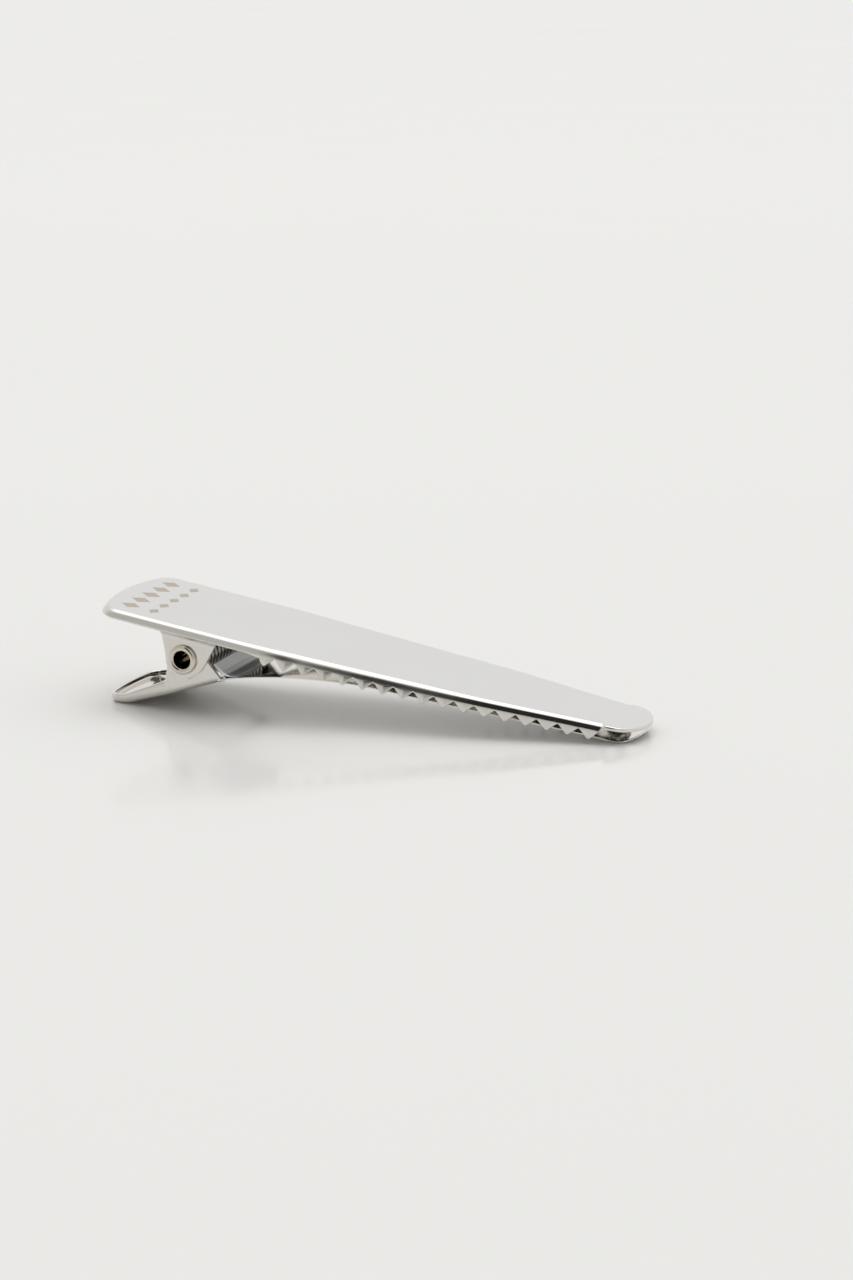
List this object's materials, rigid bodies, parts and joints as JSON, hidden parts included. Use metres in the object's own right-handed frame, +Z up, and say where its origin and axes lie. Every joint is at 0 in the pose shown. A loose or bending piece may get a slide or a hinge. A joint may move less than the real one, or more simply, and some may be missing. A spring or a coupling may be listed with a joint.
{
  "type": "alligator hair clip",
  "caption": "Long flat alligator hair clip of stamped steel: a plate with toothed skirts, a thin lower jaw with a spoon lever, a tubular rivet and a torsion spring.",
  "frame": {"origin": "middle of the tubular rivet, on its axis and in the clip's middle plane", "axes": "+X along the clip towards the tips of the jaws, +Y along the rivet, +Z up from the table the clip rests on"},
  "size_m": [0.081, 0.0216, 0.0151],
  "materials": {
    "upper_plate": "nickel plated sheet, satin top face and bright rolled rim",
    "lower_plate": "bright nickel plated sheet",
    "pivot_rivet": "bright plated tube with rolled ends",
    "torsion_spring": "dark drawn spring wire"
  },
  "bodies": {
    "lower_jaw": {"lower_plate": "lower_plate", "pivot_rivet": "pivot_rivet", "torsion_spring": "torsion_spring"},
    "upper_jaw": {"upper_plate": "upper_plate"}
  },
  "joints": [
    {"name": "jaw_hinge", "type": "hinge", "parent": "lower_jaw", "child": "upper_jaw", "pos_m": [0, 0, 0], "axis": [0, -1, 0], "range_deg": [0, 45], "stiffness_Nm_per_rad": 0.04, "springref_deg": -57.3, "deforming": ["torsion_spring"]}
  ]
}
